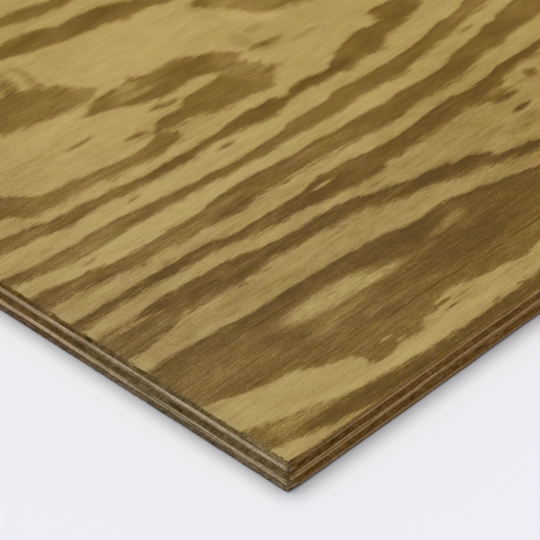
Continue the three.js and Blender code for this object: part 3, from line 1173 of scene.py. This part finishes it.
# How much more saturated an edge is away from the worked corner: at the ends, and at the sides on
# fibres cut along and on fibres cut across. A more saturated edge is redder, by this share of that.
RICHER_ENDS = 0.12
RICHER_SIDE_GRAIN = 0.045
RICHER_END_GRAIN = 0.015
REDDER_SHARE = -0.117

# Where that starts and where it is in full, in millimetres from the corner.
RICHER_END_RANGE = (55.0, 165.0)
RICHER_SIDE_RANGE = (15.0, 115.0)


def mottled(finish, place, colour, shading, on_end, side_richer):
    """The colour shaded, with a hue that drifts, and richer in shade and away from the corner."""
    colour = finish.shade(colour, shading)
    drift = finish.noise(place, (6.0, 6.0, 2.2), detail=2.0, roughness=0.6)
    hue = finish.math("MULTIPLY_ADD", drift, 0.012, 0.5)
    saturation = finish.sum((drift, -0.12), (shading, -0.3), 1.03)
    x, y, z = finish.parts(place)
    away = finish.ramp(y, *RICHER_END_RANGE) if on_end else finish.ramp(x, *RICHER_SIDE_RANGE)
    richer = RICHER_ENDS if on_end else side_richer
    hue = finish.sum(hue, (away, REDDER_SHARE * richer))
    saturation = finish.sum(saturation, (away, richer))
    return finish.tint(colour, hue, saturation)


# The most that a recess is darkened to its painted shade, and the colours of that shade. Then the colour
# of end grain that has been rubbed smooth at the sheet's corner.
RECESS_SHADE_COVER = 0.75
SIDE_GRAIN_RECESS_SHADE = (0.05, 0.028, 0.01)
END_GRAIN_RECESS_SHADE = (0.03, 0.018, 0.007)
RUBBED = (0.26, 0.18, 0.07)


def with_painted_recess_shade(finish, colour, shallow, deep, shade_colour):
    """The colour with painted shade, darker from where the edge is shallow to where it is deep, in
    millimetres.
    """
    cover = finish.ramp(finish.attribute("recess_shade"), shallow, deep, 0.0, RECESS_SHADE_COVER)
    return finish.blend(cover, colour, shade_colour)


def side_grain(name, tone, pale, lines, places, on_end):
    """A ply's edge where the saw ran with its fibres: fine streaks along it, pale where proud with painted
    highlight, and painted shade in its recesses.
    """
    finish = Finish(name, 0.7, 0.12)
    place = finish.place()
    streaks = finish.noise(place, (18.0, 18.0, 0.35), detail=3.0, roughness=0.6)
    clouds = finish.noise(place, (26.0, 26.0, 1.6), detail=2.0)
    flecks = finish.noise(place, (1.6, 1.6, 0.4), detail=2.0, roughness=0.6)
    wobble = finish.math("MULTIPLY", finish.noise(place, (15.0, 15.0, 60.0), detail=2.0), 0.5)
    marks = saw_marks(finish, place, on_end)
    pale_and_highlit = pale_and_highlit_lines(finish, place, lines, on_end, wobble)
    darker = darker_places(finish, place, places, on_end)
    share = finish.sum(
        pale_and_highlit, (streaks, 0.3), (clouds, 0.3), (flecks, 0.2), (marks, 0.22), (darker, -1.0)
    )
    colour = finish.blend(finish.ramp(share, 0.0, 1.0), tone, pale)
    shading = finish.sum((streaks, 0.3), (flecks, 0.4), (marks, 0.35), (darker, -0.7))
    colour = mottled(finish, place, colour, shading, on_end, RICHER_SIDE_GRAIN)
    # Painted shade where the edge lies deep.
    colour = with_painted_recess_shade(finish, colour, 0.45, 1.1, SIDE_GRAIN_RECESS_SHADE)
    height = finish.sum((streaks, 0.5), (flecks, 0.35), (marks, 0.5))
    return finish.close(colour, height, 0.16 * MM)


def end_grain(name, tone, places, on_end, figured):
    """A ply's edge where the saw cut across its fibres: dark, rough and open."""
    finish = Finish(name, 0.85, 0.08)
    place = finish.place()
    dark = [channel / 2 for channel in tone]
    rings = finish.noise(place, (5.5, 5.5, 1.3), detail=2.0, roughness=0.6)
    bundles = finish.noise(place, (0.9, 0.9, 0.7), detail=3.0, roughness=0.65)
    clouds = finish.noise(place, (17.0, 17.0, 2.5), detail=2.0)
    marks = saw_marks(finish, place, on_end)
    mixed = finish.sum((rings, 0.7), (clouds, 0.6), (bundles, 0.5), (marks, 0.9))
    if figured:
        late = finish.ramp(finish.attribute("latewood"), -0.8, 0.8)
        mixed = finish.sum(mixed, (late, -0.5), 0.2)
    darker = darker_places(finish, place, places, on_end)
    mixed = finish.sum(mixed, (darker, -1.0))
    colour = finish.blend(finish.ramp(mixed, -0.55, 0.55), dark, tone)
    shading = finish.sum((bundles, 0.6), (rings, 0.3), (marks, 0.4), (darker, -0.9))
    colour = mottled(finish, place, colour, shading, on_end, RICHER_END_GRAIN)
    if not on_end:
        x, y, z = finish.parts(place)
        rubbed = finish.ramp(finish.sum(x, (bundles, 1.5), (marks, 2.0)), 1.6, 5.2, 0.8, 0.0)
        colour = finish.blend(rubbed, colour, RUBBED)
    # Painted shade where the edge lies deep.
    colour = with_painted_recess_shade(finish, colour, 0.5, 1.3, END_GRAIN_RECESS_SHADE)
    height = finish.sum((bundles, 0.7), (rings, 0.3), (marks, 0.5))
    return finish.close(colour, height, 0.3 * MM)


# ---------------------------------------------------------------- settings


def colour_setting(name, description, default):
    """A colour that a user may change."""
    return bpy.props.FloatVectorProperty(
        name=name, description=description, default=default,
        subtype="COLOR", size=3, min=0.0, max=1.0,
    )


def setting(name, description, default, **kind):
    """A number that a user may change."""
    return bpy.props.FloatProperty(name=name, description=description, default=default, **kind)


def length_setting(name, description, default):
    """A length that a user may change, in metres."""
    return setting(name, description, default, subtype="DISTANCE", unit="LENGTH", precision=5)


def angle_setting(name, description, degrees):
    """An angle that a user may change."""
    return setting(name, description, math.radians(degrees), subtype="ANGLE")


class PlywoodFigure(bpy.types.PropertyGroup):
    """Colours of the veneers' faces, from the palest wood to the darkest"""

    pale: colour_setting("Pale Earlywood", "The palest wood grown in spring", (0.485, 0.357, 0.136))
    earlywood: colour_setting("Earlywood", "Wood grown in spring", (0.412, 0.292, 0.105))
    tan: colour_setting("Tan", "Wood between spring's and summer's", (0.325, 0.212, 0.066))
    brown: colour_setting("Brown Latewood", "The browner wood grown in summer", (0.224, 0.132, 0.0335))
    latewood: colour_setting("Latewood", "Dark wood grown in summer", (0.163, 0.0905, 0.0185))
    resin: colour_setting("Resin", "Resin canals and small checks", (0.107, 0.0565, 0.0105))

    def stops(self):
        """The colours, as a scale from pale to dark."""
        return (self.pale, self.earlywood, self.tan, self.brown, self.latewood, self.resin)


class PlywoodEdges(bpy.types.PropertyGroup):
    """Sawn edges of the veneers"""

    arris: length_setting("Arris", "Rounding of the sheet's upper and lower edges", 0.4 * MM)
    inner_arris: length_setting("Inner Arris", "Rounding of the plies' edges at the glue lines", 0.14 * MM)
    corner_radius: length_setting("Corner Radius", "Wear on the sheet's upright corners", 1.9 * MM)
    near_spacing: length_setting("Near Spacing", "Steps along the edges by the worked corner", 0.4 * MM)
    far_spacing: length_setting("Far Spacing", "Steps along the edges elsewhere", 4.0 * MM)
    # The pale colours are partly the fibres' own and partly painted highlight on proud ridges; the dark ones
    # are partly the fibres' own and partly painted shade in the hollows between them.
    end_pale_and_highlight: colour_setting("End Pale", "Ridges of fibres cut along, at the ends", (0.62, 0.47, 0.265))
    end_dark_and_shade: colour_setting("End Dark", "Hollows of fibres cut along, at the ends", (0.2, 0.134, 0.053))
    end_end_grain: colour_setting("End End Grain", "Fibres cut across, at the ends", (0.26, 0.168, 0.056))
    side_pale_and_highlight: colour_setting("Side Pale", "Ridges of fibres cut along, at the sides", (0.47, 0.298, 0.12))
    side_dark_and_shade: colour_setting("Side Dark", "Hollows of fibres cut along, at the sides", (0.225, 0.12, 0.034))
    side_end_grain: colour_setting(
        "Side End Grain", "Fibres cut across, at the sides", (0.29, 0.136, 0.028)
    )
    dusty_end_grain: colour_setting(
        "Dusty End Grain", "The back's fibres cut across", (0.28, 0.19, 0.098)
    )
    dusty_pale_and_highlight: colour_setting("Dusty Pale", "Ridges of the back's fibres cut along", (0.435, 0.274, 0.12))
    dusty_dark_and_shade: colour_setting("Dusty Dark", "Hollows of the back's fibres cut along", (0.245, 0.138, 0.047))


# The view's width in pixels, and how far right of its middle and below it the worked corner is.
VIEW_PIXELS = 540
CORNER_RIGHT_PIXELS = 19.2
CORNER_DOWN_PIXELS = 225.55


class PlywoodStage(bpy.types.PropertyGroup):
    """The floor, the lights and the camera"""

    floor: colour_setting("Floor", "Pale studio floor", (0.868, 0.848, 0.846))
    sky: setting("Sky", "Strength of the soft light all round", 0.34)
    key: setting("Key", "Strength of the soft light above", 2.3)
    window: setting("Window", "Strength of the cool light from the end", 0.3)
    lens: setting("Lens", "Focal length", 187.9, subtype="DISTANCE_CAMERA")
    distance: length_setting("Distance", "Depth of the worked corner before the camera", 1.05749)
    pitch: angle_setting("Pitch", "Downward look of the camera", 37.74)
    heading: angle_setting("Heading", "Turn of the look from +X to +Y", 43.01)
    roll: angle_setting("Roll", "Turn about the line of sight", 0.44)
    corner_right: setting(
        "Corner Right", "The worked corner right of the view's middle, as a share of its width",
        CORNER_RIGHT_PIXELS / VIEW_PIXELS,
    )
    corner_down: setting(
        "Corner Down", "The worked corner below the view's middle, as a share of its width",
        CORNER_DOWN_PIXELS / VIEW_PIXELS,
    )


class PlywoodSettings(bpy.types.PropertyGroup):
    """Everything a user may change on the sheet"""

    figure: bpy.props.PointerProperty(
        type=PlywoodFigure, name="Figure", description="Veneer faces"
    )
    edges: bpy.props.PointerProperty(type=PlywoodEdges, name="Edges", description="Sawn edges")
    stage: bpy.props.PointerProperty(
        type=PlywoodStage, name="Stage", description="Floor, lights and camera"
    )


# ---------------------------------------------------------------- operators

# Steps of a ply's grid away from the worked corner, as (reach, spacing). The face's are fine where
# its figure is stored, and the last of each reaches past the sheet's far edge.
FACE_COLUMNS = ((2 * MM, 2 * MM), (345 * MM, 2.3 * MM), (440 * MM, 9.5 * MM), (3.0, 500 * MM))
FACE_ROWS = ((2 * MM, 2 * MM), (345 * MM, 1.15 * MM), (440 * MM, 9.5 * MM), (2.0, 260 * MM))
PLAIN_STEPS = ((FINE_REACH, FINE_REACH), (3.0, 3.0))


def make_ply(edges, node, name, materials, column_steps=PLAIN_STEPS, row_steps=PLAIN_STEPS):
    """Builds one ply in the place of its CAD node."""
    low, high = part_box(node)
    columns = graded(high.x - low.x, column_steps)
    rows = graded(high.y - low.y, row_steps)
    upper_arris = edges.arris if node == FACE else edges.inner_arris
    lower_arris = edges.arris if node == BACK else edges.inner_arris
    levels = ply_levels(high.z - low.z, upper_arris, lower_arris)
    bm = ply_block(low, high, columns, rows, levels, edges.near_spacing, edges.far_spacing)
    assign_edge_materials(bm, low, high)
    if node == FACE:
        mark_figure(bm)
    saw_edges(bm, node, low, high, levels, edges.corner_radius)
    bm.normal_update()
    finish_piece(bm, name, node, materials)


class CornerFigure:
    """The figure round the worked corner, looked up by place."""

    def __init__(self):
        self.columns = {}

    def column(self, x):
        """The latewood and the earlywood streaks that a line across the grain at x meets."""
        place = round(x, 1)
        if place not in self.columns:
            dark = bands_across(LATEWOOD_BANDS, place)
            pale = bands_across(EARLYWOOD_STREAKS, place)
            self.columns[place] = (dark, pale)
        return self.columns[place]

    def depth_across(self, x, y):
        """The depth in latewood, counting only the line across the grain at x."""
        dark, pale = self.column(x)
        return min(deepest(dark, y), -deepest(pale, y))

    def depth(self, x, y):
        """The depth in latewood, which falls gently towards a lobe's end too."""
        depth = self.depth_across(x, y)
        steps = 1
        while steps * ALONG_STEP * ALONG_SHARE < abs(depth):
            allowance = steps * ALONG_STEP * ALONG_SHARE
            for beside in (x - steps * ALONG_STEP, x + steps * ALONG_STEP):
                other = self.depth_across(max(beside, 0.0), y)
                if depth > 0:
                    depth = min(depth, max(other, 0.0) + allowance)
                else:
                    depth = max(depth, min(other, 0.0) - allowance)
            steps += 1
        return depth


def mark_figure(bm):
    """Stores the figure round the worked corner: its depth in latewood and its tone."""
    depth_layer = bm.verts.layers.float.new("latewood")
    tone_layer = bm.verts.layers.float.new("tone")
    figure = CornerFigure()
    for vert in bm.verts:
        x = (vert.co.x - CORNER.x) / MM - FIGURE_SHIFT[0]
        y = (vert.co.y - CORNER.y) / MM - FIGURE_SHIFT[1]
        if max(x * a + y * b - c for a, b, c in CORNER_FIGURE_SIDES) > CORNER_FIGURE_STORED:
            vert[depth_layer] = -FIGURE_REACH
            continue
        vert[depth_layer] = figure.depth(x, y)
        vert[tone_layer] = tone_at(x, y) + rim_tone(figure.column(x)[0], y)


def edge_materials(edges, node, name):
    """The end and side materials of a ply, by the run of its grain."""
    on_end = END_PLACES[node]
    on_side = SIDE_PLACES[node]
    along_name = name + "_side_grain"
    across_name = name + "_end_grain"
    if node not in GRAIN_ALONG_LENGTH:
        lines = END_LINES[node]
        return (
            side_grain(along_name, edges.end_dark_and_shade, edges.end_pale_and_highlight, lines, on_end, True),
            end_grain(across_name, edges.side_end_grain, on_side, False, False),
        )
    end_tone, side_dark_and_shade, side_pale_and_highlight = edges.end_end_grain, edges.side_dark_and_shade, edges.side_pale_and_highlight
    if node == BACK:
        end_tone, side_dark_and_shade, side_pale_and_highlight = edges.dusty_end_grain, edges.dusty_dark_and_shade, edges.dusty_pale_and_highlight
    return (
        end_grain(across_name, end_tone, on_end, True, node == FACE),
        side_grain(along_name, side_dark_and_shade, side_pale_and_highlight, SIDE_LINES[node], on_side, False),
    )


# Where in the general figure each ply but the face lies, in millimetres.
BACK_OFFSET = (5200.0, 3100.0, 0.0)
CORE_OFFSET = (900.0, 7400.0, 0.0)
CROSSBAND_OFFSET = (-3100.0, 900.0, 0.0)


def make_plain_plies(settings, figure_name, offset, plies):
    """Builds plies that share a figure, each as (node, its name, start of its materials' names)."""
    figure = veneer_figure(figure_name, settings.figure, offset, False)
    for node, name, material_name in plies:
        materials = (figure, *edge_materials(settings.edges, node, material_name))
        make_ply(settings.edges, node, name, materials)


class PLYWOOD_OT_face(bpy.types.Operator):
    """Model the face veneer with its figure"""

    bl_idname = "plywood.face"
    bl_label = "Face Veneer"

    def execute(self, context):
        settings = context.scene.plywood
        edges = settings.edges
        figure = veneer_figure("face_figure", settings.figure, NO_OFFSET, True)
        materials = (figure, *edge_materials(edges, FACE, "face"))
        make_ply(edges, FACE, "veneer_face", materials, FACE_COLUMNS, FACE_ROWS)
        return {"FINISHED"}


class PLYWOOD_OT_back(bpy.types.Operator):
    """Model the back veneer, which the sheet lies on"""

    bl_idname = "plywood.back"
    bl_label = "Back Veneer"

    def execute(self, context):
        plies = ((BACK, "veneer_back", "back"),)
        settings = context.scene.plywood
        make_plain_plies(settings, "back_figure", BACK_OFFSET, plies)
        return {"FINISHED"}


class PLYWOOD_OT_core(bpy.types.Operator):
    """Model the core veneer"""

    bl_idname = "plywood.core"
    bl_label = "Core Veneer"

    def execute(self, context):
        plies = ((CORE, "veneer_core", "core"),)
        settings = context.scene.plywood
        make_plain_plies(settings, "core_figure", CORE_OFFSET, plies)
        return {"FINISHED"}


class PLYWOOD_OT_crossbands(bpy.types.Operator):
    """Model the two crossbands, whose grain runs across the sheet"""

    bl_idname = "plywood.crossbands"
    bl_label = "Crossbands"

    def execute(self, context):
        plies = (
            (LOWER_CROSSBAND, "veneer_crossband_lower", "crossband_lower"),
            (UPPER_CROSSBAND, "veneer_crossband_upper", "crossband_upper"),
        )
        settings = context.scene.plywood
        make_plain_plies(settings, "crossband_figure", CROSSBAND_OFFSET, plies)
        return {"FINISHED"}


# How far the floor reaches each way, in metres, how many cells it has each way, and the size in
# millimetres and strength of its faint clouds.
FLOOR_REACH = 400.0
FLOOR_CELLS = 8
FLOOR_CLOUD = 500.0
FLOOR_CLOUD_SHADE = 0.01

# The soft light above and the cool light from the end: azimuth, elevation and spread in degrees,
# and colour. Then the colour of the light all round.
KEY_LIGHT = (58.0, 79.5, 52.0, (1.0, 0.985, 0.95))
WINDOW_LIGHT = (190.0, 28.0, 50.0, (0.86, 0.93, 1.0))
SKY_COLOUR = (0.64, 0.78, 1.0, 1.0)

# The width of the camera's sensor in millimetres, and its clipping distances in metres.
SENSOR_WIDTH = 36.0
CLIP_START = 0.01
CLIP_END = 1000.0


def make_floor(colour):
    """A pale floor far wider than the sheet."""
    bm = bmesh.new()
    cells = FLOOR_CELLS
    bmesh.ops.create_grid(bm, x_segments=cells, y_segments=cells, size=FLOOR_REACH)
    mesh = bpy.data.meshes.new("floor")
    bm.to_mesh(mesh)
    bm.free()
    floor = bpy.data.objects.new("floor", mesh)
    bpy.context.scene.collection.objects.link(floor)
    finish = Finish("floor", 0.7, 0.2)
    place = finish.place()
    clouds = finish.noise(place, (FLOOR_CLOUD,) * 3, detail=2.0)
    shade = finish.shade(colour, finish.math("MULTIPLY", clouds, FLOOR_CLOUD_SHADE))
    finish.close(shade, clouds, 0.0001 * MM)
    mesh.materials.append(finish.material)


def make_sun(name, strength, azimuth, elevation, spread, colour):
    """A very wide sun, for soft even light over the whole sheet."""
    sun = bpy.data.lights.new(name, "SUN")
    sun.energy = strength
    sun.angle = math.radians(spread)
    sun.color = colour
    lamp = bpy.data.objects.new(name, sun)
    bpy.context.scene.collection.objects.link(lamp)
    azimuth, elevation = math.radians(azimuth), math.radians(elevation)
    level_part = math.cos(elevation)
    towards = Vector((
        math.cos(azimuth) * level_part, math.sin(azimuth) * level_part, math.sin(elevation),
    ))
    lamp.rotation_mode = "QUATERNION"
    lamp.rotation_quaternion = towards.to_track_quat("Z", "Y")


def make_sky(strength):
    """Soft light from all round."""
    world = bpy.data.worlds.new("studio")
    world.use_nodes = True
    background = world.node_tree.nodes["Background"]
    background.inputs["Color"].default_value = SKY_COLOUR
    background.inputs["Strength"].default_value = strength
    bpy.context.scene.world = world


def make_camera(stage):
    """Looks down over the worked corner."""
    pitch, heading, roll = stage.pitch, stage.heading, stage.roll
    level_part = math.cos(pitch)
    forward = Vector((
        math.cos(heading) * level_part, math.sin(heading) * level_part, -math.sin(pitch),
    ))
    level_right = Vector((math.sin(heading), -math.cos(heading), 0.0))
    level_up = level_right.cross(forward)
    right = level_right * math.cos(roll) + level_up * math.sin(roll)
    up = level_up * math.cos(roll) - level_right * math.sin(roll)
    data = bpy.data.cameras.new("camera")
    data.lens = stage.lens
    data.sensor_width = SENSOR_WIDTH
    data.clip_start = CLIP_START
    data.clip_end = CLIP_END
    camera = bpy.data.objects.new("camera", data)
    bpy.context.scene.collection.objects.link(camera)
    view_width = stage.distance * data.sensor_width / stage.lens
    camera.location = (
        CORNER
        - forward * stage.distance
        - right * stage.corner_right * view_width
        + up * stage.corner_down * view_width
    )
    turn = Matrix((right, up, -forward)).transposed()
    camera.rotation_mode = "QUATERNION"
    camera.rotation_quaternion = turn.to_quaternion()
    bpy.context.scene.camera = camera


class PLYWOOD_OT_stage(bpy.types.Operator):
    """Set the floor, the lights and the camera"""

    bl_idname = "plywood.stage"
    bl_label = "Stage"

    def execute(self, context):
        stage = context.scene.plywood.stage
        make_floor(stage.floor)
        make_sky(stage.sky)
        make_sun("key", stage.key, *KEY_LIGHT)
        make_sun("window", stage.window, *WINDOW_LIGHT)
        make_camera(stage)
        context.scene.view_settings.view_transform = "Standard"
        return {"FINISHED"}


class PLYWOOD_PT_sheet(bpy.types.Panel):
    """Lists the sheet's pieces and settings"""

    bl_idname = "PLYWOOD_PT_sheet"
    bl_label = "Plywood Sheet"
    bl_space_type = "VIEW_3D"
    bl_region_type = "UI"
    bl_category = "Plywood"

    def draw(self, context):
        settings = context.scene.plywood
        for heading in ("figure", "edges", "stage"):
            group = getattr(settings, heading)
            box = self.layout.box()
            box.label(text=heading.capitalize())
            for name in group.__annotations__:
                box.prop(group, name)
        for operator in OPERATORS:
            self.layout.operator(operator.bl_idname)


OPERATORS = (
    PLYWOOD_OT_stage, PLYWOOD_OT_back, PLYWOOD_OT_core, PLYWOOD_OT_crossbands, PLYWOOD_OT_face,
)
CLASSES = (
    PlywoodFigure, PlywoodEdges, PlywoodStage, PlywoodSettings, *OPERATORS, PLYWOOD_PT_sheet,
)


def register():
    """Adds the settings, the operators and the panel."""
    for cls in CLASSES:
        bpy.utils.register_class(cls)
    bpy.types.Scene.plywood = bpy.props.PointerProperty(type=PlywoodSettings)


def unregister():
    """Takes them away again."""
    del bpy.types.Scene.plywood
    for cls in reversed(CLASSES):
        bpy.utils.unregister_class(cls)


def main():
    """Builds the stage and the plies."""
    register()
    bpy.ops.plywood.stage()
    bpy.ops.plywood.back()
    bpy.ops.plywood.core()
    bpy.ops.plywood.crossbands()
    bpy.ops.plywood.face()


if __name__ == "__main__":
    main()
